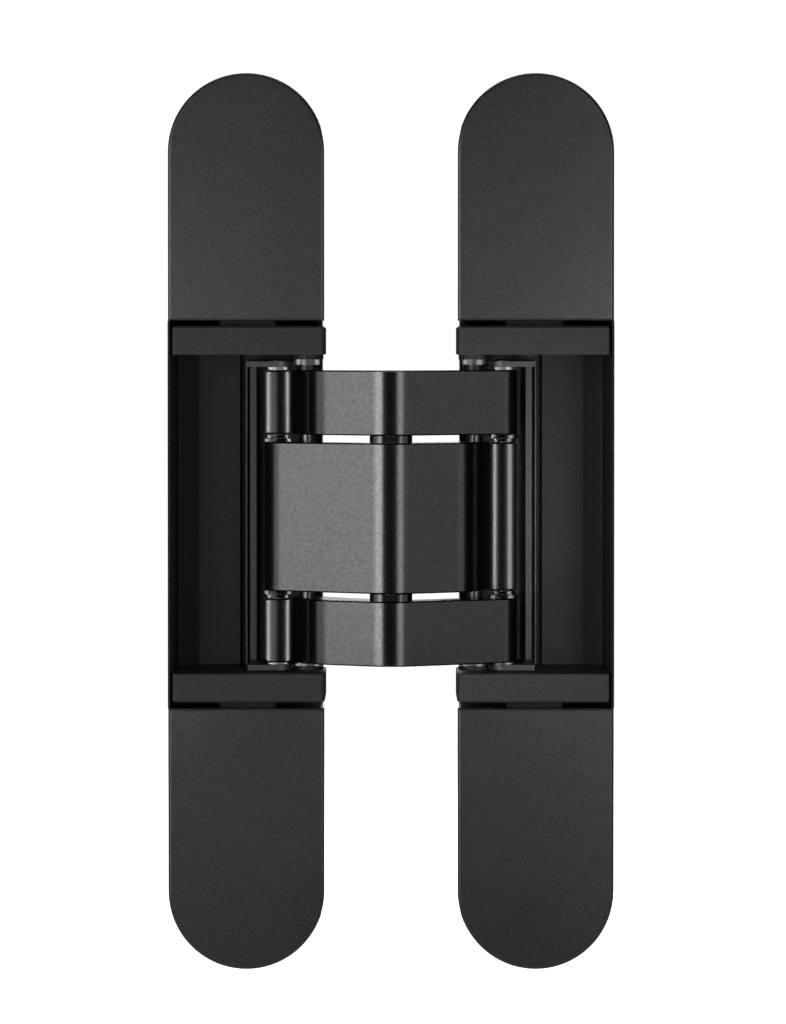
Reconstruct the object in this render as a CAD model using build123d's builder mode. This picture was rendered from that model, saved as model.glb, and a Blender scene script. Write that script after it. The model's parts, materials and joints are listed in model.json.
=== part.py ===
# Concealed door hinge, open flat: two mortise leaves joined by three crossed arms.
# X runs across the leaves, Y runs into the door edge, Z is up along the pins.
# Origin: centre of the hinge's box, on the mirror plane between the two leaves.

import math
import os

from build123d import *

os.makedirs("parts", exist_ok=True)

# Leaves
leaf_width = 28.0
leaf_height = 160.0
leaf_gap = 23.6              # between the leaves when the hinge lies open
wall = 1.0                   # housing side walls around the deep pocket
rim_width = 0.4              # the outer wall thins to this at its front edge
end_depth = 13.0             # depth of the two shallow ends, where the screws go
housing_floor = 2.0
pocket_gap = 0.2             # between the housing's floor and the carriage
rim_drop = 0.3               # the side wall's edge stays behind the cover faces
body_inset = 0.7             # the covers overhang the housing by this at the leaf's inner edge
fit_gap = 0.1                # between pieces that drop into each other

# Covers
cover_thickness = 1.8
cover_inset = 0.1
cover_round = 0.5
upper_cover_gap = 0.95       # between the covers and the carriage's bars
lower_cover_gap = 1.0
peg_radius = 1.2
peg_length = 4.5
peg_edge_offset = 12.4       # inner peg, from the cover's straight edge
peg_tip_offset = 10.0        # outer peg, from the cover's round tip
boss_wall = 1.4

# Screw wells under the covers
well_wall = 2.0
well_floor_depth = 9.5
screw_hole_radius = 2.6
screw_head_radius = 4.6
screw_spacing_x = 13.0
screw_tip_offset = 22.0      # screw holes, from the leaf's round tips
screw_head_angle = 90.0

# Carriage: the tray that holds the pins
carriage_z = 1.3             # height of its middle above the leaf's middle
opening_height = 57.0        # between the two end bars
bar_height = 5.1
bar_face = 0.25              # how far the bars lie behind the cover faces
bar_overhang = 1.6           # the bars reach the leaf's inner edge this far past the pin's boss
bar_chamfer = 0.35
bar_round = 1.0              # the bars' inner ends
bar_end_round = 0.5          # the bars' outer ends
bar_end_gap = 0.38           # between the bars' outer ends and the wall's front edge
tray_lip = 0.2
tray_bevel_run = 3.3         # sloping side between the tray's lip and its floor
tray_bevel_rise = 3.9
floor_clearance = 0.5        # between the arms' swing and the tray's floor
floor_thickness = 2.4
floor_groove_width = 1.05
floor_groove_depth = 2.0
tongue_width = 10.0
tongue_length = 10.0
tongue_thickness = 1.6
tongue_depth = 6.6           # its front, where the clamp screw's head seats
clamp_offset = 6.2           # clamp screw, from the bar
clamp_travel = 2.0
clamp_shank_radius = 2.0
clamp_shank_length = 7.6
clamp_head_radius = 3.5
clamp_head_height = 1.9
clamp_socket_width = 2.5
clamp_socket_depth = 1.2
clamp_boss_radius = 3.4

# Linkage, seen from above
pivot_inset = 3.3            # fixed pivot, from the leaf's inner edge
guide_inset = 8.6            # guided pin, from the leaf's inner edge
pivot_setback = 12.2         # fixed pivots behind the centre pivot
arm_slope = 25.0             # each arm face falls away from the ridge by this angle
closed_gap = 4.0             # between the leaf faces when the door is shut
swing = 180.0
arm_share = 0.525            # part of the swing that each arm turns on its own leaf

# Arms
upper_arm_clearance = 2.8    # between the upper bar and the arms
lower_arm_clearance = 1.5
outer_arm_share = 0.232      # each outer arm's part of the three arms' whole height
arm_gap = 1.35
arm_thickness = 5.6
ridge_round = 7.5            # both edges of the ridge
ridge_land = 0.1             # flat left between them
hook_lead = 3.7              # the face starts to curl back this far before the fixed pivot
curl_lead = 0.5              # and this far before the guided pin
hook_radius = 8.0
pivot_eye_radius = 3.0
notch_radius = 1.5           # inside corner behind the centre pivot
arm_edge = 0.25

# Pins, sleeves and washers
pivot_pin_radius = 1.5
guide_pin_radius = 1.5
centre_pin_radius = 1.75
sleeve_radius = 2.3
pin_chamfer = 0.3
pin_recess = 0.4             # pin ends behind the surface that they come through
seat_gap = 0.02              # pins that stay put in their holes
running_gap = 0.05           # pins that turn in their holes
face_gap = 0.05              # between washers and the faces beside them
upper_boss_height = 0.9
lower_boss_height = 0.6
boss_radius = 2.9
ring_radius = 2.26
upper_ring_thickness = 0.9
lower_ring_thickness = 0.5
glide_radius = 1.95
arm_washer_radius = 2.7      # against the arms
sleeve_washer_radius = 2.1   # against the sleeves
ear_washer_radius = 1.76
centre_spacer_width = 7.6
centre_spacer_depth = 5.2

# Guide bracket: the pressed plate whose slots lead the guided pin
plate = 0.95
upper_ear_clearance = 0.6    # above the arms
lower_ear_clearance = 0.35   # below the arms
ear_web = 1.2                # around the slot's end
rib_width = 1.4
rib_height = 3.1             # above the tray's floor
rib_offset = 4.0             # rib's inner side, from the guided pin at rest
foot_width = 0.85
foot_thickness = 0.6
lip_width = 0.55
lip_height = 2.6             # above the tray's floor
bracket_round = 0.24         # front edges of the rib and the lip
slot_gap = 0.2
tab_length = 8.0
tab_spacing = 30.0

# Places worked out from the sizes above
leaf_x = -(leaf_gap + leaf_width) / 2
inner_x = -leaf_gap / 2
outer_x = inner_x - leaf_width
pivot_x = leaf_gap / 2 + pivot_inset
guide_x = leaf_gap / 2 + guide_inset
half_arm = arm_thickness / 2
slope = math.radians(arm_slope)
arm_reach = math.hypot(pivot_x, pivot_setback)
open_angle = 180 - math.degrees(math.atan2(pivot_setback, pivot_x))
closed_angle = open_angle - arm_share * swing
pivot_depth = arm_reach * math.sin(math.radians(closed_angle)) - closed_gap / 2
centre_depth = pivot_depth - pivot_setback
guide_depth = centre_depth + guide_x * math.tan(slope)
ridge_depth = centre_depth - half_arm / math.cos(slope)
ridge_flat = ridge_land + 2 * ridge_round * math.tan(slope / 2)
ridge_front = ridge_depth + ridge_flat / 2 * math.tan(slope)
hook_start = pivot_x - hook_lead
curl_start = guide_x - curl_lead


def guide_point(turned):
    """Place of the frame leaf's guided pin, in plan, after a share of the swing."""
    pivot_angle = math.radians(open_angle - arm_share * swing * turned)
    guide_angle = math.radians(180 - arm_slope - (1 - arm_share) * swing * turned)
    centre_x = -pivot_x - arm_reach * math.cos(pivot_angle)
    centre_y = pivot_depth - arm_reach * math.sin(pivot_angle)
    guide_reach = guide_x / math.cos(slope)
    return (
        centre_x + guide_reach * math.cos(guide_angle),
        centre_y + guide_reach * math.sin(guide_angle),
    )


# Depths behind the leaf faces: the shut arms' reach sets the tray's floor and the housing's depth
floor_depth = guide_point(1)[1] + half_arm + floor_clearance
carriage_back = floor_depth + floor_thickness
pocket_depth = carriage_back + pocket_gap
housing_depth = pocket_depth + housing_floor
lip_depth = floor_depth - tray_bevel_rise
bar_overhang_depth = pivot_depth + boss_radius + bar_overhang
ear_radius = guide_pin_radius + slot_gap + ear_web
face_y = -(housing_depth + ridge_front) / 2

# Heights: the bars hold the stack of arms between them, and the covers meet the bars
upper_bar_z = carriage_z + opening_height / 2
lower_bar_z = carriage_z - opening_height / 2
carriage_height = opening_height + 2 * bar_height
stack_top = upper_bar_z - upper_arm_clearance
lower_arm_z = lower_bar_z + lower_arm_clearance
arms_height = stack_top - lower_arm_z - 2 * arm_gap
outer_arm_height = outer_arm_share * arms_height
middle_arm_height = arms_height - 2 * outer_arm_height
upper_arm_z = stack_top - outer_arm_height
middle_arm_z = lower_arm_z + outer_arm_height + arm_gap
upper_ear_z = stack_top + upper_ear_clearance
lower_ear_z = lower_arm_z - lower_ear_clearance - plate
upper_edge_z = upper_bar_z + bar_height + upper_cover_gap
lower_edge_z = lower_bar_z - bar_height - lower_cover_gap
pocket_height = upper_edge_z - lower_edge_z
pocket_z = (upper_edge_z + lower_edge_z) / 2
screw_spacing_z = leaf_height - 2 * screw_tip_offset
ends = (
    ("upper", 1, upper_edge_z, upper_bar_z + bar_height),
    ("lower", -1, lower_edge_z, lower_bar_z - bar_height),
)

# Sides
carriage_outer_x = outer_x + wall + fit_gap
pocket_inner_x = inner_x - body_inset - wall
carriage_inner_x = pocket_inner_x - fit_gap
tray_x = carriage_outer_x + tray_lip
rib_x = -guide_x - rib_offset
rib_outer_x = rib_x - rib_width
foot_x = rib_outer_x - foot_width


def plan(z):
    """Plane seen from above, at height z: local Y is the depth behind the leaf faces."""
    return Plane((0, face_y, z))


def front(depth):
    """Plane that faces the viewer, at this depth: local Y is the height."""
    return Plane(origin=(0, face_y + depth, 0), x_dir=(1, 0, 0), z_dir=(0, -1, 0))


def save(builder, name):
    """Name a finished piece and write it."""
    builder.part.label = name
    export_step(builder.part, f"parts/{name}.step")


# Frame leaf: housing, a cast mortise body with shallow ends and a deep middle
with BuildPart() as frame_housing:
    with BuildSketch(front(end_depth)):
        with Locations((leaf_x, 0)):
            SlotOverall(leaf_height, leaf_width, rotation=90)
    extrude(amount=end_depth - cover_thickness)
    with BuildSketch(front(housing_depth)):
        with Locations((leaf_x, pocket_z)):
            SlotOverall(pocket_height + leaf_width, leaf_width, rotation=90)
    extrude(amount=housing_depth - end_depth)
    with BuildSketch(front(housing_depth)):
        with Locations((inner_x, 0)):
            Rectangle(body_inset, leaf_height, align=(Align.MAX, Align.CENTER))
    extrude(amount=housing_depth, mode=Mode.SUBTRACT)

    # Outer side wall, carried forward between the covers
    with BuildSketch(front(cover_thickness)):
        with Locations((outer_x, lower_edge_z + fit_gap)):
            Rectangle(wall, pocket_height - 2 * fit_gap, align=(Align.MIN, Align.MIN))
    extrude(amount=cover_thickness - rim_drop)

    # Deep pocket for the carriage, open along the leaf's inner edge where the arms pass
    with BuildSketch(plan(lower_edge_z)):
        with BuildLine():
            Polyline(
                (outer_x + rim_width, 0),
                (outer_x + wall, lip_depth),
                (outer_x + wall, pocket_depth),
                (pocket_inner_x, pocket_depth),
                (pocket_inner_x, bar_overhang_depth + fit_gap),
                (0, bar_overhang_depth + fit_gap),
                (0, 0),
                close=True,
            )
        make_face()
    extrude(amount=pocket_height, mode=Mode.SUBTRACT)

    # Screw wells under the covers
    with BuildSketch(front(well_floor_depth)):
        with Locations((leaf_x, 0)):
            SlotOverall(leaf_height - 2 * well_wall, leaf_width - 2 * well_wall, rotation=90)
        with Locations((leaf_x, lower_edge_z - well_wall)):
            Rectangle(
                leaf_width,
                pocket_height + 2 * well_wall,
                align=(Align.CENTER, Align.MIN),
                mode=Mode.SUBTRACT,
            )
    extrude(amount=well_floor_depth, mode=Mode.SUBTRACT)

    # Notches that the carriage's tongues pass through
    with BuildSketch(front(tongue_depth + tongue_thickness + fit_gap)):
        with Locations((leaf_x, lower_edge_z - well_wall)):
            Rectangle(
                tongue_width + 2 * fit_gap,
                pocket_height + 2 * well_wall,
                align=(Align.CENTER, Align.MIN),
            )
    extrude(amount=tongue_depth + tongue_thickness, mode=Mode.SUBTRACT)

    for end, way, edge_z, bar_end_z in ends:
        # Post for the clamp screw and posts for the cover's pegs
        clamp_z = bar_end_z + way * clamp_offset
        peg_places = [
            (leaf_x, edge_z + way * peg_edge_offset),
            (leaf_x, way * (leaf_height / 2 - peg_tip_offset)),
        ]
        with BuildSketch(front(well_floor_depth)):
            with Locations((leaf_x, clamp_z)):
                Circle(clamp_boss_radius)
        extrude(amount=well_floor_depth - tongue_depth - tongue_thickness)
        with BuildSketch(front(well_floor_depth)):
            with Locations(*peg_places):
                Circle(peg_radius + fit_gap + boss_wall)
        extrude(amount=well_floor_depth - cover_thickness)
        with Locations(front(tongue_depth + tongue_thickness)):
            with Locations((leaf_x, clamp_z)):
                Hole(clamp_shank_radius + seat_gap, depth=clamp_shank_length)
        with Locations(front(cover_thickness)):
            with Locations(*peg_places):
                Hole(peg_radius + fit_gap, depth=peg_length + fit_gap)

    # Countersunk screw holes, through to the seat at the back of the shallow ends
    with Locations(front(well_floor_depth)):
        with Locations((leaf_x, 0)):
            with GridLocations(screw_spacing_x, screw_spacing_z, 2, 2):
                CounterSinkHole(
                    screw_hole_radius,
                    screw_head_radius,
                    depth=2 * (end_depth - well_floor_depth),
                    counter_sink_angle=screw_head_angle,
                )

# Frame leaf: carriage, a tray with two end bars that hold the pins
with BuildPart() as frame_carriage:
    with BuildSketch(plan(lower_bar_z - bar_height)):
        with BuildLine():
            Polyline(
                (outer_x + rim_width + bar_end_gap, bar_face),
                (carriage_outer_x, lip_depth),
                (carriage_outer_x, carriage_back),
                (carriage_inner_x, carriage_back),
                (carriage_inner_x, bar_overhang_depth),
                (inner_x, bar_overhang_depth),
                (inner_x, bar_face),
                close=True,
            )
        make_face()
        fillet(vertices().group_by(Axis.Y)[0].sort_by(Axis.X)[0], bar_end_round)
        fillet(vertices().group_by(Axis.Y)[0].sort_by(Axis.X)[-1], bar_round)
    extrude(amount=carriage_height)
    chamfer(edges().filter_by(Axis.X).group_by(Axis.Y)[0], bar_chamfer)

    # Tray between the bars: a sloping side from the lip to the floor
    with BuildSketch(plan(lower_bar_z)):
        with BuildLine():
            Polyline(
                (tray_x, lip_depth),
                (tray_x + tray_bevel_run, floor_depth),
                (0, floor_depth),
                (0, 0),
                (outer_x, 0),
                (outer_x, lip_depth),
                close=True,
            )
        make_face()
        with Locations((foot_x, floor_depth)):
            Rectangle(floor_groove_width, floor_groove_depth, align=(Align.MAX, Align.MIN))
    extrude(amount=opening_height, mode=Mode.SUBTRACT)

    # Slots for the guide bracket's tabs
    with BuildSketch(front(carriage_back)):
        with Locations((rib_x - rib_width / 2, carriage_z)):
            with GridLocations(1, tab_spacing, 1, 2):
                Rectangle(plate + 2 * seat_gap, tab_length + 2 * seat_gap)
    extrude(amount=carriage_back - floor_depth, mode=Mode.SUBTRACT)

    # Bosses around the fixed pin, on the inner faces of the bars
    with BuildSketch(plan(upper_bar_z - upper_boss_height)):
        with Locations((-pivot_x, pivot_depth)):
            Circle(boss_radius)
    extrude(amount=upper_boss_height)
    with BuildSketch(plan(lower_bar_z)):
        with Locations((-pivot_x, pivot_depth)):
            Circle(boss_radius)
    extrude(amount=lower_boss_height)

    # Tongues under the covers, slotted for the clamp screws
    for end, way, edge_z, bar_end_z in ends:
        with BuildSketch(front(tongue_depth + tongue_thickness)):
            with Locations((leaf_x, bar_end_z + way * tongue_length / 2)):
                Rectangle(tongue_width, tongue_length)
            with Locations((leaf_x, bar_end_z + way * clamp_offset)):
                SlotCenterToCenter(
                    clamp_travel,
                    2 * (clamp_shank_radius + fit_gap),
                    rotation=90,
                    mode=Mode.SUBTRACT,
                )
        extrude(amount=tongue_thickness)

    # Bore for the fixed pin
    with BuildSketch(plan(carriage_z - carriage_height / 2)):
        with Locations((-pivot_x, pivot_depth)):
            Circle(pivot_pin_radius + seat_gap)
    extrude(amount=carriage_height, mode=Mode.SUBTRACT)

# Frame leaf: guide bracket, two slotted ears joined by a rib on the tray's floor
with BuildPart() as frame_guide_bracket:
    bracket_height = upper_ear_z + plate - lower_ear_z
    with BuildSketch(plan(lower_ear_z)):
        with Locations((rib_x, floor_depth)):
            Rectangle(rib_width, rib_height, align=(Align.MAX, Align.MAX))
        with Locations((rib_outer_x, floor_depth)):
            Rectangle(foot_width, foot_thickness, align=(Align.MAX, Align.MAX))
        with Locations((foot_x, floor_depth)):
            Rectangle(lip_width, lip_height, align=(Align.MIN, Align.MAX))
        corner_rows = vertices().group_by(Axis.Y)
        fillet(corner_rows[0] + corner_rows[1], bracket_round)
    extrude(amount=bracket_height)
    for ear_z in (lower_ear_z, upper_ear_z):
        with BuildSketch(plan(ear_z)):
            with BuildLine():
                ear_tip = CenterArc((-guide_x, guide_depth), ear_radius, -90, 90)
                Polyline(
                    ear_tip @ 1,
                    (-guide_x + ear_radius, floor_depth),
                    (rib_outer_x, floor_depth),
                    (rib_outer_x, guide_depth - ear_radius),
                    ear_tip @ 0,
                )
            make_face()
            with BuildLine() as guide_path:
                ThreePointArc(guide_point(0), guide_point(0.5), guide_point(1))
            SlotArc(guide_path.wire(), 2 * (guide_pin_radius + slot_gap), mode=Mode.SUBTRACT)
            with Locations((-pivot_x, pivot_depth)):
                Circle(boss_radius + fit_gap, mode=Mode.SUBTRACT)
        extrude(amount=plate)
    with BuildSketch(front(carriage_back)):
        with Locations((rib_x - rib_width / 2, carriage_z)):
            with GridLocations(1, tab_spacing, 1, 2):
                Rectangle(plate, tab_length)
    extrude(amount=carriage_back - floor_depth)

# Frame leaf: fixed pin through both bars
pivot_pin_length = carriage_height - 2 * pin_recess
with BuildPart() as frame_pivot_pin:
    with BuildSketch(plan(carriage_z - pivot_pin_length / 2)):
        with Locations((-pivot_x, pivot_depth)):
            Circle(pivot_pin_radius)
    extrude(amount=pivot_pin_length)
    chamfer(edges().filter_by(GeomType.CIRCLE), pin_chamfer)

# Frame leaf: steel rings against the bosses, then glides between the rings and the arms
upper_ring_z = upper_bar_z - upper_boss_height - face_gap - upper_ring_thickness
lower_ring_z = lower_bar_z + lower_boss_height + face_gap
upper_glide_z = stack_top + face_gap
lower_glide_z = lower_ring_z + lower_ring_thickness + face_gap
with BuildPart() as frame_pivot_rings:
    for ring_z, ring_thickness in (
        (upper_ring_z, upper_ring_thickness),
        (lower_ring_z, lower_ring_thickness),
    ):
        with BuildSketch(plan(ring_z)):
            with Locations((-pivot_x, pivot_depth)):
                Circle(ring_radius)
                Circle(pivot_pin_radius + seat_gap, mode=Mode.SUBTRACT)
        extrude(amount=ring_thickness)
with BuildPart() as frame_pivot_glides:
    for glide_z, glide_top in (
        (upper_glide_z, upper_ring_z - face_gap),
        (lower_glide_z, lower_arm_z - face_gap),
    ):
        with BuildSketch(plan(glide_z)):
            with Locations((-pivot_x, pivot_depth)):
                Circle(glide_radius)
                Circle(pivot_pin_radius + seat_gap, mode=Mode.SUBTRACT)
        extrude(amount=glide_top - glide_z)

# Frame leaf: socket-head screws that clamp the carriage's tongues
with BuildPart() as frame_clamp_screws:
    for end, way, edge_z, bar_end_z in ends:
        clamp_place = (leaf_x, bar_end_z + way * clamp_offset)
        with BuildSketch(front(tongue_depth)):
            with Locations(clamp_place):
                Circle(clamp_head_radius)
        extrude(amount=clamp_head_height)
        with BuildSketch(front(tongue_depth + clamp_shank_length)):
            with Locations(clamp_place):
                Circle(clamp_shank_radius)
        extrude(amount=clamp_shank_length)
        with BuildSketch(front(tongue_depth - clamp_head_height + clamp_socket_depth)):
            with Locations(clamp_place):
                RegularPolygon(clamp_socket_width / 2, 6, major_radius=False)
        extrude(amount=clamp_socket_depth, mode=Mode.SUBTRACT)

frame_pieces = {
    "housing": frame_housing,
    "carriage": frame_carriage,
    "guide_bracket": frame_guide_bracket,
    "pivot_pin": frame_pivot_pin,
    "pivot_rings": frame_pivot_rings,
    "pivot_glides": frame_pivot_glides,
    "clamp_screws": frame_clamp_screws,
}

# Frame leaf: the two clip-on covers
for end, way, edge_z, bar_end_z in ends:
    with BuildPart() as cover:
        with BuildSketch(front(cover_thickness)):
            with Locations((leaf_x, 0)):
                SlotOverall(leaf_height - 2 * cover_inset, leaf_width - 2 * cover_inset, rotation=90)
            with Locations((leaf_x, edge_z - way * leaf_height / 2)):
                Rectangle(leaf_width, leaf_height, mode=Mode.SUBTRACT)
        extrude(amount=cover_thickness)
        fillet(faces().sort_by(Axis.Y)[0].edges(), cover_round)
        with BuildSketch(front(cover_thickness + peg_length)):
            with Locations(
                (leaf_x, edge_z + way * peg_edge_offset),
                (leaf_x, way * (leaf_height / 2 - peg_tip_offset)),
            ):
                Circle(peg_radius)
        extrude(amount=peg_length)
    frame_pieces[f"{end}_cover"] = cover

# The door leaf is the frame leaf's mirror image
for piece, builder in frame_pieces.items():
    save(builder, f"frame_{piece}")
    with BuildPart() as door_piece:
        mirror(builder.part, about=Plane.YZ)
    save(door_piece, f"door_{piece}")


def on_circle(centre, radius, angle):
    """Point on a circle, at an angle in radians."""
    return (centre[0] + radius * math.cos(angle), centre[1] + radius * math.sin(angle))


def tangent_angle(start, start_radius, end, end_radius, side):
    """Direction from both centres to the straight line that touches two circles on one side."""
    run = math.dist(start, end)
    heading = math.atan2(end[1] - start[1], end[0] - start[0])
    return heading + side * math.acos((start_radius - end_radius) / run)


def arm_profile(way):
    """Arm seen from above: a straight half to the guided pin, a hooked half to the fixed pivot."""
    guide_end = (-guide_x, guide_depth)
    pivot_end = (pivot_x, pivot_depth)
    centre = (0, centre_depth)
    hook_end = (hook_start, ridge_depth + hook_start * math.tan(slope))
    hook_centre = on_circle(hook_end, hook_radius, math.pi / 2 + slope)
    curl_end = (-curl_start, ridge_depth + curl_start * math.tan(slope))
    curl_centre = on_circle(curl_end, hook_radius, math.pi / 2 - slope)
    guide_eye_radius = hook_radius - math.dist(curl_centre, guide_end)

    front_side = tangent_angle(hook_centre, hook_radius, pivot_end, pivot_eye_radius, -1)
    back_side = tangent_angle(centre, half_arm, pivot_end, pivot_eye_radius, 1)
    guide_back = tangent_angle(centre, half_arm, guide_end, guide_eye_radius, -1)
    curl_side = math.atan2(guide_end[1] - curl_centre[1], guide_end[0] - curl_centre[0]) + 2 * math.pi
    half_notch = (back_side - guide_back) / 2
    notch = on_circle(centre, half_arm / math.cos(half_notch), (back_side + guide_back) / 2)

    def place(point):
        return (way * point[0], point[1])

    def arc(middle, radius, first, last):
        return ThreePointArc(*[
            place(on_circle(middle, radius, angle)) for angle in (first, (first + last) / 2, last)
        ])

    with BuildSketch(mode=Mode.PRIVATE) as profile:
        with BuildLine():
            ridge = Line(place((-ridge_flat / 2, ridge_front)), place((ridge_flat / 2, ridge_front)))
            hook = arc(hook_centre, hook_radius, slope - math.pi / 2, front_side)
            pivot_eye = arc(pivot_end, pivot_eye_radius, front_side, back_side)
            guide_eye = arc(guide_end, guide_eye_radius, guide_back, curl_side)
            curl = arc(curl_centre, hook_radius, curl_side, 3 * math.pi / 2 - slope)
            Line(ridge @ 1, hook @ 0)
            Line(hook @ 1, pivot_eye @ 0)
            Line(pivot_eye @ 1, place(notch))
            Line(place(notch), guide_eye @ 0)
            Line(curl @ 1, ridge @ 0)
        make_face()
        for corner, radius in (
            (notch, notch_radius),
            ((ridge_flat / 2, ridge_front), ridge_round),
            ((-ridge_flat / 2, ridge_front), ridge_round),
        ):
            fillet(vertices().sort_by_distance(place(corner))[0], radius)
    return profile.sketch


def arm(way, bottom, height, centre_hole, guide_hole):
    """One arm with its three bores; way is +1 where the hooked half points to the door leaf."""
    with BuildPart() as body:
        with BuildSketch(plan(bottom)):
            add(arm_profile(way))
        extrude(amount=height)
        chamfer(faces().filter_by(Axis.Z).edges(), arm_edge)
        for place, radius in (
            ((way * pivot_x, pivot_depth), pivot_pin_radius + running_gap),
            ((0, centre_depth), centre_hole),
            ((-way * guide_x, guide_depth), guide_hole),
        ):
            with BuildSketch(plan(bottom)):
                with Locations(place):
                    Circle(radius)
            extrude(amount=height, mode=Mode.SUBTRACT)
    return body


# Arms: the outer pair turns on the frame leaf, the middle one carries the door leaf
outer_holes = (centre_pin_radius + seat_gap, guide_pin_radius + seat_gap)
middle_holes = (centre_pin_radius + running_gap, guide_pin_radius + seat_gap)
save(arm(-1, upper_arm_z, outer_arm_height, *outer_holes), "upper_arm")
save(arm(1, middle_arm_z, middle_arm_height, *middle_holes), "middle_arm")
save(arm(-1, lower_arm_z, outer_arm_height, *outer_holes), "lower_arm")

# Centre pin, through all three arms
with BuildPart() as centre_pin:
    with BuildSketch(plan(lower_arm_z + pin_recess)):
        with Locations((0, centre_depth)):
            Circle(centre_pin_radius)
    extrude(amount=stack_top - lower_arm_z - 2 * pin_recess)
    chamfer(edges().filter_by(GeomType.CIRCLE), pin_chamfer)
save(centre_pin, "centre_pin")

# Guided pins: one in the middle arm, one in the outer pair
guide_pin_bottom = lower_ear_z
guide_pin_top = upper_ear_z + plate + pin_recess
for way, name in ((-1, "middle_arm_guide_pin"), (1, "outer_arms_guide_pin")):
    with BuildPart() as guide_pin:
        with BuildSketch(plan(guide_pin_bottom)):
            with Locations((way * guide_x, guide_depth)):
                Circle(guide_pin_radius)
        extrude(amount=guide_pin_top - guide_pin_bottom)
        chamfer(edges().filter_by(GeomType.CIRCLE), pin_chamfer)
    save(guide_pin, name)


# Spacer sleeves fill the guided pins' bare lengths
upper_gap_z = upper_arm_z - arm_gap
lower_gap_z = middle_arm_z - arm_gap
sleeves = (
    ("upper_sleeve", -1, upper_arm_z, stack_top),
    ("lower_sleeve", -1, lower_arm_z, lower_gap_z),
    ("middle_sleeve", 1, middle_arm_z, upper_gap_z),
)
for name, way, bottom, top in sleeves:
    with BuildPart() as sleeve:
        with BuildSketch(plan(bottom + face_gap)):
            with Locations((way * guide_x, guide_depth)):
                Circle(sleeve_radius)
                Circle(guide_pin_radius + seat_gap, mode=Mode.SUBTRACT)
        extrude(amount=top - bottom - 2 * face_gap)
        outer_rims = edges().filter_by(GeomType.CIRCLE).group_by(SortBy.RADIUS)[-1]
        chamfer(outer_rims, pin_chamfer)
    save(sleeve, name)

# Washers on the guided pins: a pair in each gap of the stack, one beside each ear
upper_gap_middle = upper_gap_z + arm_gap / 2
lower_gap_middle = lower_gap_z + arm_gap / 2
inner_halves = ((upper_gap_z, upper_gap_middle), (lower_gap_middle, middle_arm_z))
outer_halves = ((upper_gap_middle, upper_arm_z), (lower_gap_z, lower_gap_middle))
ear_gaps = ((stack_top, upper_ear_z), (lower_ear_z + plate, lower_arm_z))
for way, pin_of, arm_side, sleeve_side in (
    (-1, "middle_arm", inner_halves, outer_halves),
    (1, "outer_arms", outer_halves, inner_halves),
):
    with BuildPart() as guide_washers:
        for seats, radius in ((arm_side, arm_washer_radius), (sleeve_side, sleeve_washer_radius)):
            for bottom, top in seats:
                with BuildSketch(plan(bottom + face_gap)):
                    with Locations((way * guide_x, guide_depth)):
                        Circle(radius)
                        Circle(guide_pin_radius + seat_gap, mode=Mode.SUBTRACT)
                extrude(amount=top - bottom - 2 * face_gap)
    save(guide_washers, f"{pin_of}_guide_washers")
    with BuildPart() as ear_washers:
        for bottom, top in ear_gaps:
            with BuildSketch(plan(bottom + face_gap)):
                with Locations((way * guide_x, guide_depth)):
                    Circle(ear_washer_radius)
                    Circle(guide_pin_radius + seat_gap, mode=Mode.SUBTRACT)
            extrude(amount=top - bottom - 2 * face_gap)
    save(ear_washers, f"{pin_of}_ear_washers")

# Spacers on the centre pin
with BuildPart() as centre_spacers:
    for gap_z in (upper_gap_z, lower_gap_z):
        with BuildSketch(plan(gap_z + face_gap)):
            with Locations((0, centre_depth)):
                SlotOverall(centre_spacer_width, centre_spacer_depth)
                Circle(centre_pin_radius + seat_gap, mode=Mode.SUBTRACT)
        extrude(amount=arm_gap - 2 * face_gap)
save(centre_spacers, "centre_spacers")

print("pivot", round(pivot_x, 4), round(face_y + pivot_depth, 4))
print("centre", round(face_y + centre_depth, 4), "guide", round(face_y + guide_depth, 4))
print("face", round(face_y, 4), "seat", round(face_y + end_depth, 4))
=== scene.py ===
import json
import math

import bmesh
import bpy
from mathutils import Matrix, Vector


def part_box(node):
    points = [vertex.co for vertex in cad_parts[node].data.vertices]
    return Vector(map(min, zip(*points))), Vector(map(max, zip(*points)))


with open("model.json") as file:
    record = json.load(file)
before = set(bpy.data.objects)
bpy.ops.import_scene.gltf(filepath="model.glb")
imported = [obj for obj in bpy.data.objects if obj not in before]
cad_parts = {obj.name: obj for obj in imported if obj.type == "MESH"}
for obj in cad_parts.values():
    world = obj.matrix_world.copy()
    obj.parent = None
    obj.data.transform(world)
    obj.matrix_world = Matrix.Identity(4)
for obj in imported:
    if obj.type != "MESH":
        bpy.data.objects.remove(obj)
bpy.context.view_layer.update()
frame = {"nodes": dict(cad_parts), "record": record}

# Concealed door hinge, satin black, lying open and seen from the front.
# Metres; X runs across the two leaves, Y into the door edge, Z is up.

MM = 0.001

# The photograph's frame, in pixels, and where the hinge stands in it
PHOTO_WIDTH = 786
PHOTO_HEIGHT = 1024
RIDGE_COLUMN = 391.0
MIDDLE_ROW = 522.0
LEAF_ROWS = 898.0

# Camera: a long lens a little above the hinge's middle, tilted less than it looks down
CAMERA_DISTANCE = 0.73
CAMERA_ELEVATION = math.radians(2.5)
CAMERA_TILT = math.radians(1.0)
SENSOR_HEIGHT = 36.0
CLIP_START = 0.01

# Paint grain is about 0.1 mm, too fine to show, so it is drawn coarser
PAINT_GRAIN_MM = 0.4
ARM_GRAIN_MM = 0.55
PAINT_DRIFT_MM = 18.0        # slow change of gloss across a piece
PAINT_GLOSS_SWING = 0.04
SPARKLE_SHADES = ("#d4d4d4", "#ffffff")
RELIEF_STRENGTH = 0.5

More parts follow.
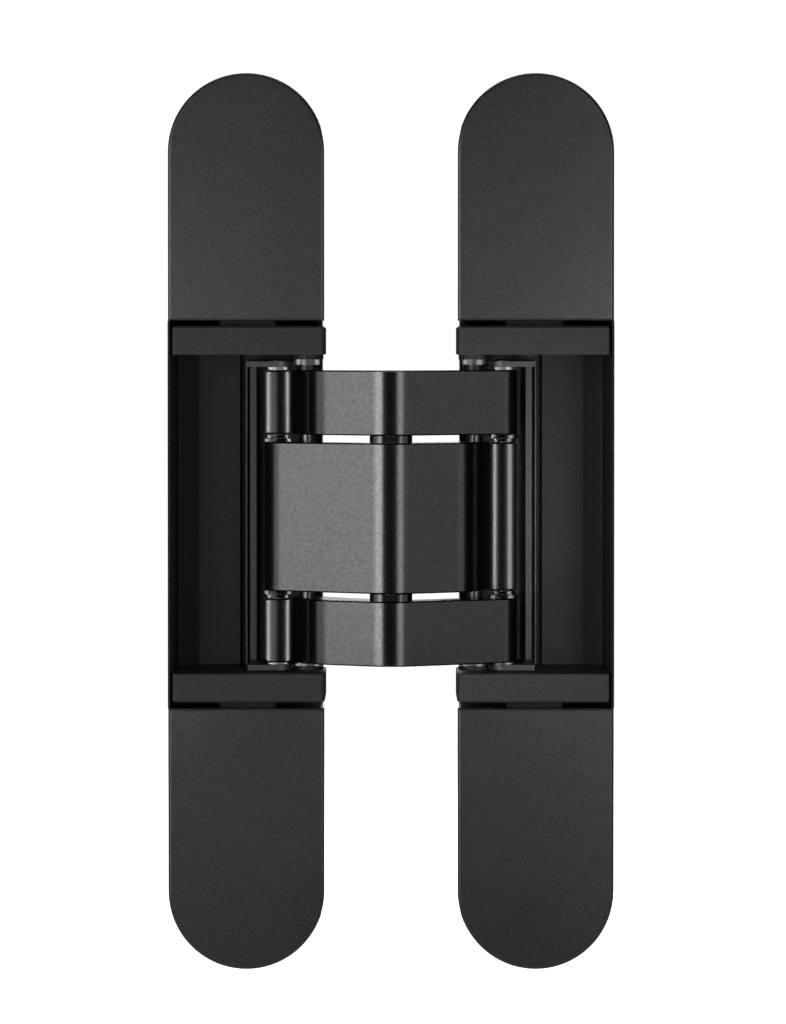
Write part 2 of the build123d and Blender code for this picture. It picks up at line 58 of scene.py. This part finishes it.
# Lathe lines are about 0.05 mm apart, too fine to show, so they are drawn coarser
LATHE_LINE_MM = 0.15
LATHE_ROUND_MM = 9.0         # how far a line keeps its shade round the piece
LATHE_GLOSS_SWING = 0.02

# Noise seldom leaves this range, so shades run between its ends
NOISE_RANGE = (0.3, 0.7)

# Studio
FLOOR_Z = -0.16
FLOOR_RADIUS = 1.2
SWEEP_RADIUS = 0.8
SWEEP_TOP = 2.2
SWEEP_STEPS = 12
ROUND_STEPS = 64
SHADOW_RADIUS = 0.25         # the floor takes a shadow inside this, and is pure white outside the next
WHITE_RADIUS = 0.45
SHADOW_GLOW = 0.4
WHITE_GLOW = 1.0
ROOM_LIGHT = 0.02
FLOOR_LIGHT = 0.8
FLOOR_LIGHT_START = -0.25    # sine of the angle below the horizon where the floor's light sets in
FLOOR_LIGHT_FULL = -0.6
POCKET_GRID = math.radians(58)

# Material slots that take their own lights
TURNED_SLOTS = ("sleeve_steel", "washer_steel", "bright_steel")
LEAF_SLOTS = ("cast_carriage", "cover_plate", "bracket_plate")


def srgb(code):
    """Linear colour from an sRGB hex value."""
    channels = [int(code[i:i + 2], 16) / 255 for i in (1, 3, 5)]
    linear = [c / 12.92 if c <= 0.04045 else ((c + 0.055) / 1.055) ** 2.4 for c in channels]
    return (*linear, 1.0)


def per_metre(size_mm):
    """Texture scale that gives features of this size."""
    return 1 / (size_mm * MM)


def add_node(owner, kind, feeds=None, **settings):
    """Add a shader node, set it, and feed its sockets with values or other nodes' sockets."""
    made = owner.node_tree.nodes.new(kind)
    for name, value in settings.items():
        setattr(made, name, value)
    for socket, value in (feeds or {}).items():
        if isinstance(value, bpy.types.NodeSocket):
            owner.node_tree.links.new(value, made.inputs[socket])
        else:
            made.inputs[socket].default_value = value
    return made


def new_material(name):
    """Empty node material, ready for a shader."""
    material = bpy.data.materials.new(name)
    material.use_nodes = True
    material.node_tree.nodes.clear()
    return material


def satin_paint(name, shades, roughness, specular, grain_mm=PAINT_GRAIN_MM, grain_depth_mm=0.01):
    """Satin black paint: a fine grain that varies its shade, its shine and its surface."""
    material = new_material(name)
    place = add_node(material, "ShaderNodeTexCoord").outputs["Object"]
    grain = add_node(
        material, "ShaderNodeTexNoise",
        {"Vector": place, "Scale": per_metre(grain_mm), "Detail": 3.0, "Roughness": 0.6},
    ).outputs["Fac"]
    drift = add_node(
        material, "ShaderNodeTexNoise",
        {"Vector": place, "Scale": per_metre(PAINT_DRIFT_MM), "Detail": 2.0},
    ).outputs["Fac"]
    shade = add_node(material, "ShaderNodeValToRGB", {"Fac": grain})
    sparkle = add_node(material, "ShaderNodeValToRGB", {"Fac": grain})
    for ramp, colours in ((shade, shades), (sparkle, SPARKLE_SHADES)):
        for end, position, colour in zip(ramp.color_ramp.elements, NOISE_RANGE, colours):
            end.position = position
            end.color = srgb(colour)
    gloss = add_node(
        material, "ShaderNodeMapRange",
        {
            "Value": drift,
            "To Min": roughness - PAINT_GLOSS_SWING,
            "To Max": roughness + PAINT_GLOSS_SWING,
        },
    ).outputs["Result"]
    relief = add_node(
        material, "ShaderNodeBump",
        {"Height": grain, "Strength": RELIEF_STRENGTH, "Distance": grain_depth_mm * MM},
    ).outputs["Normal"]
    shader = add_node(
        material, "ShaderNodeBsdfPrincipled",
        {
            "Base Color": shade.outputs["Color"],
            "Roughness": gloss,
            "Normal": relief,
            "Specular IOR Level": specular,
            "Specular Tint": sparkle.outputs["Color"],
        },
    ).outputs["BSDF"]
    add_node(material, "ShaderNodeOutputMaterial", {"Surface": shader})
    return material


def turned_steel(name, shades, roughness):
    """Steel turned on a lathe: fine rings round the axis that vary its shade and its gloss."""
    material = new_material(name)
    place = add_node(material, "ShaderNodeTexCoord").outputs["Object"]
    around = per_metre(LATHE_ROUND_MM)
    squeezed = add_node(
        material, "ShaderNodeMapping",
        {"Vector": place, "Scale": (around, around, per_metre(LATHE_LINE_MM))},
    ).outputs["Vector"]
    rings = add_node(
        material, "ShaderNodeTexNoise",
        {"Vector": squeezed, "Scale": 1.0, "Detail": 2.0},
    ).outputs["Fac"]
    shade = add_node(material, "ShaderNodeValToRGB", {"Fac": rings})
    for end, position, colour in zip(shade.color_ramp.elements, NOISE_RANGE, shades):
        end.position = position
        end.color = srgb(colour)
    gloss = add_node(
        material, "ShaderNodeMapRange",
        {
            "Value": rings,
            "To Min": roughness - LATHE_GLOSS_SWING,
            "To Max": roughness + LATHE_GLOSS_SWING,
        },
    ).outputs["Result"]
    shader = add_node(
        material, "ShaderNodeBsdfPrincipled",
        {
            "Base Color": shade.outputs["Color"],
            "Metallic": 1.0,
            "Roughness": gloss,
        },
    ).outputs["BSDF"]
    add_node(material, "ShaderNodeOutputMaterial", {"Surface": shader})
    return material


# Zinc castings under satin black paint: even and dark, with a fine grain and little shine
cast_zinc_paint = satin_paint("satin_black_paint_on_cast_zinc", ("#161616", "#1a1a1b"), 0.5, 0.14)
# The carriage's copy of this paint is lighter and a little shinier than the housing's: painted light
# that brightens the shaded pocket floors and the bars
carriage_paint_with_painted_light = satin_paint("satin_black_paint_on_carriage_with_painted_light", ("#1b1b1c", "#212122"), 0.5, 0.2)

# Pressed steel under a finer satin paint: a soft, broad shine over a darker ground
cover_paint = satin_paint("fine_satin_black_paint_on_covers", ("#0a0a0b", "#101011"), 0.36, 0.57)
bracket_paint = satin_paint("satin_black_paint_on_pressed_steel", ("#0a0a0b", "#101011"), 0.42, 0.57)

# Arms cast smooth and painted glossier: near black where they turn away, mottled grey in the light
arm_paint = satin_paint(
    "satin_black_paint_on_arms", ("#040404", "#080808"), 0.2, 0.63,
    grain_mm=ARM_GRAIN_MM, grain_depth_mm=0.006,
)

# Turned steel: bands of light along it, dark on blackened pieces and grey on plated ones
sleeve_steel = turned_steel("black_oxide_steel_sleeves", ("#3f3f40", "#434344"), 0.36)
pin_steel = turned_steel("ground_steel", ("#4f5052", "#58595b"), 0.35)
ring_steel = turned_steel("steel_rings", ("#4a4a4c", "#525254"), 0.45)
washer_steel = turned_steel("steel_washers", ("#38383a", "#3e3e40"), 0.25)
plated_steel = turned_steel("zinc_plated_steel", ("#626261", "#6a6a69"), 0.5)
screw_steel = turned_steel("black_oxide_steel_screws", ("#303032", "#3c3c3e"), 0.35)

# Acetal glides: moulded black plastic with a waxy sheen
glide_acetal = satin_paint("black_acetal", ("#141415", "#1a1a1b"), 0.4, 0.45)

finishes = {
    "cast_body": cast_zinc_paint,
    "cast_carriage": carriage_paint_with_painted_light,
    "cover_plate": cover_paint,
    "cast_arm": arm_paint,
    "bracket_plate": bracket_paint,
    "sleeve_steel": sleeve_steel,
    "pin_steel": pin_steel,
    "bright_steel": ring_steel,
    "washer_steel": washer_steel,
    "screw_steel": screw_steel,
    "glide_polymer": glide_acetal,
}
for subpart in frame["record"]["subparts"]:
    piece = frame["nodes"][subpart["node"]]
    piece.data.materials.clear()
    piece.data.materials.append(finishes[subpart["material_slot"]])
    # The paint beside the sleeves stays black: it doesn't mirror them
    piece.visible_glossy = subpart["material_slot"] != "sleeve_steel"
for node in ("middle_arm_ear_washers", "outer_arms_ear_washers"):
    frame["nodes"][node].data.materials[0] = plated_steel

# White paper sweep all round the hinge: pure white, with a soft shadow on the floor under the hinge
paper = new_material("white_paper_sweep")
paper_place = add_node(paper, "ShaderNodeTexCoord").outputs["Object"]
across = add_node(
    paper, "ShaderNodeVectorMath", {0: paper_place, 1: (1.0, 1.0, 0.0)}, operation="MULTIPLY"
).outputs["Vector"]
reach = add_node(paper, "ShaderNodeVectorMath", {0: across}, operation="LENGTH").outputs["Value"]
glow = add_node(
    paper, "ShaderNodeMapRange",
    {
        "Value": reach,
        "From Min": SHADOW_RADIUS,
        "From Max": WHITE_RADIUS,
        "To Min": SHADOW_GLOW,
        "To Max": WHITE_GLOW,
    },
).outputs["Result"]
paper_shader = add_node(
    paper, "ShaderNodeBsdfPrincipled",
    {
        "Base Color": srgb("#f2f2f2"),
        "Roughness": 0.9,
        "Emission Color": srgb("#ffffff"),
        "Emission Strength": glow,
    },
).outputs["BSDF"]
add_node(paper, "ShaderNodeOutputMaterial", {"Surface": paper_shader})

sheet = bmesh.new()
profile = [
    sheet.verts.new((0, 0, FLOOR_Z)),
    sheet.verts.new((FLOOR_RADIUS, 0, FLOOR_Z)),
]
bend = bmesh.ops.spin(
    sheet,
    geom=[profile[1]],
    cent=(FLOOR_RADIUS, 0, FLOOR_Z + SWEEP_RADIUS),
    axis=(0, -1, 0),
    angle=math.pi / 2,
    steps=SWEEP_STEPS,
)["geom_last"]
wall_top = sheet.verts.new((FLOOR_RADIUS + SWEEP_RADIUS, 0, SWEEP_TOP))
sheet.edges.new(profile)
sheet.edges.new([item for item in bend if isinstance(item, bmesh.types.BMVert)] + [wall_top])
bmesh.ops.spin(
    sheet,
    geom=list(sheet.verts) + list(sheet.edges),
    cent=(0, 0, 0),
    axis=(0, 0, 1),
    angle=2 * math.pi,
    steps=ROUND_STEPS,
    use_merge=True,
)
bmesh.ops.remove_doubles(sheet, verts=sheet.verts, dist=MM)
bmesh.ops.recalc_face_normals(sheet, faces=sheet.faces)
bmesh.ops.reverse_faces(sheet, faces=sheet.faces)
for face in sheet.faces:
    face.smooth = True
sweep_mesh = bpy.data.meshes.new("paper_sweep")
sheet.to_mesh(sweep_mesh)
sheet.free()
sweep_mesh.materials.append(paper)
sweep = bpy.data.objects.new("paper_sweep", sweep_mesh)
sweep.visible_diffuse = False
sweep.visible_glossy = False
sweep.visible_shadow = False
bpy.context.scene.collection.objects.link(sweep)

# Light groups: paint is lit from the front, the leaves also from near the camera,
# the housings also from the sides and back, and turned steel by strips of its own
groups = {
    name: bpy.data.collections.new(name)
    for name in ("painted", "leaves", "door_tray", "bodies", "turned", "left_turned", "right_turned")
}
groups["painted"].objects.link(sweep)
for subpart in frame["record"]["subparts"]:
    piece = frame["nodes"][subpart["node"]]
    slot = subpart["material_slot"]
    low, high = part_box(subpart["node"])
    beside_arms = slot in TURNED_SLOTS and low.x * high.x > 0
    if beside_arms:
        groups["turned"].objects.link(piece)
        groups["left_turned" if low.x < 0 else "right_turned"].objects.link(piece)
    if slot == "bright_steel" or not beside_arms:
        groups["painted"].objects.link(piece)
    if slot in LEAF_SLOTS:
        groups["leaves"].objects.link(piece)
    if slot == "cast_body":
        groups["bodies"].objects.link(piece)
groups["door_tray"].objects.link(frame["nodes"]["door_carriage"])
groups["door_tray"].objects.link(frame["nodes"]["door_guide_bracket"])

# Softboxes: name, angle to the right of the camera in degrees, height, distance, width, height
# of the box, radiance, and the group that it lights
softboxes = (
    ("left_softbox", -41.0, 0.015, 0.50, 0.31, 0.20, 4.6, "painted"),
    ("left_edge_softbox", -76.0, 0.015, 0.50, 0.34, 0.20, 1.7, "painted"),
    ("left_strip", -32.0, 0.015, 0.48, 0.17, 0.20, 5.5, "painted"),
    ("right_strip", 24.0, 0.015, 0.50, 0.14, 0.20, 4.8, "painted"),
    ("right_softbox", 41.5, 0.015, 0.50, 0.34, 0.20, 1.0, "painted"),
    ("right_edge_softbox", 69.5, 0.015, 0.50, 0.16, 0.20, 1.3, "painted"),
    ("front_left_softbox", -18.7, 0.0, 0.306, 0.06, 0.06, 9.0, "leaves"),
    ("front_right_softbox", 18.7, 0.0, 0.306, 0.06, 0.06, 13.0, "leaves"),
    ("right_pocket_softbox", 34.3, 0.0, 0.097, 0.03, 0.03, 2.6, "door_tray"),
    ("top_softbox", 0.0, 0.90, 0.02, 1.20, 0.70, 1.7, None),
    ("back_softbox", 180.0, 0.40, 0.90, 0.60, 0.60, 3.0, None),
    ("back_left_softbox", -140.0, 0.30, 0.90, 0.80, 0.80, 7.0, "bodies"),
    ("back_right_softbox", 140.0, 0.30, 0.90, 0.80, 0.80, 7.0, "bodies"),
    ("left_flank_softbox", -92.0, 0.10, 0.90, 0.70, 0.60, 5.0, "bodies"),
    ("right_flank_softbox", 92.0, 0.10, 0.90, 0.70, 0.60, 5.0, "bodies"),
    ("left_side_strip", -95.0, 0.03, 0.50, 0.32, 0.50, 9.0, "turned"),
    ("left_side_fill", -45.0, 0.03, 0.50, 0.58, 0.50, 1.6, "left_turned"),
    ("right_side_strip", 99.0, 0.03, 0.50, 0.29, 0.50, 9.6, "left_turned"),
    ("right_front_strip", 52.0, 0.03, 0.50, 0.32, 0.50, 7.5, "right_turned"),
)
for name, angle, height, distance, width, tall, radiance, group in softboxes:
    bearing = math.radians(angle)
    for_turned = group is not None and "turned" in group
    lamp = bpy.data.lights.new(name, "AREA")
    lamp.shape = "RECTANGLE"
    lamp.size = width
    lamp.size_y = tall
    lamp.energy = math.pi * width * tall * radiance
    lamp.cycles.use_multiple_importance_sampling = not for_turned
    box = bpy.data.objects.new(name, lamp)
    box.location = (distance * math.sin(bearing), -distance * math.cos(bearing), height)
    box.rotation_euler = (-box.location).to_track_quat("-Z", "Y").to_euler()
    box.visible_camera = False
    if group:
        box.light_linking.receiver_collection = groups[group]
    if for_turned:
        box.light_linking.blocker_collection = groups["turned"]
    bpy.context.scene.collection.objects.link(box)

# A honeycomb grid narrows the pocket's light, so that the bars above and below get less of it
bpy.data.lights["right_pocket_softbox"].spread = POCKET_GRID

# Dim room, with the white floor's light coming up from below
room = bpy.data.worlds.new("pale_studio")
room.use_nodes = True
room.node_tree.nodes.clear()
towards = add_node(room, "ShaderNodeTexCoord").outputs["Generated"]
upward = add_node(room, "ShaderNodeSeparateXYZ", {"Vector": towards}).outputs["Z"]
floor_light = add_node(
    room, "ShaderNodeMapRange",
    {
        "Value": upward,
        "From Min": FLOOR_LIGHT_START,
        "From Max": FLOOR_LIGHT_FULL,
        "To Min": ROOM_LIGHT,
        "To Max": FLOOR_LIGHT,
    },
).outputs["Result"]
room_light = add_node(
    room, "ShaderNodeBackground", {"Color": srgb("#ffffff"), "Strength": floor_light}
).outputs["Background"]
add_node(room, "ShaderNodeOutputWorld", {"Surface": room_light})
bpy.context.scene.world = room
bpy.context.scene.view_settings.view_transform = "Standard"

# Camera, placed so that the leaves' faces fill the photograph's rows
face_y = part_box("frame_upper_cover")[0].y
leaf_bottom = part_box("frame_housing")[0].z
leaf_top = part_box("frame_housing")[1].z
pixels_per_metre = LEAF_ROWS / (leaf_top - leaf_bottom)
aim = Vector((
    (PHOTO_WIDTH / 2 - RIDGE_COLUMN) / pixels_per_metre,
    face_y,
    (MIDDLE_ROW - PHOTO_HEIGHT / 2) / pixels_per_metre,
))
lens = bpy.data.cameras.new("camera")
lens.sensor_fit = "VERTICAL"
lens.sensor_height = SENSOR_HEIGHT
lens.lens = pixels_per_metre * CAMERA_DISTANCE / PHOTO_HEIGHT * SENSOR_HEIGHT
lens.shift_y = -math.tan(CAMERA_ELEVATION - CAMERA_TILT) * lens.lens / SENSOR_HEIGHT
lens.clip_start = CLIP_START
camera = bpy.data.objects.new("camera", lens)
away = Vector((0, -math.cos(CAMERA_ELEVATION), math.sin(CAMERA_ELEVATION)))
camera.location = aim + CAMERA_DISTANCE * away
camera.rotation_euler = (math.pi / 2 - CAMERA_TILT, 0, 0)
bpy.context.scene.collection.objects.link(camera)
bpy.context.scene.camera = camera
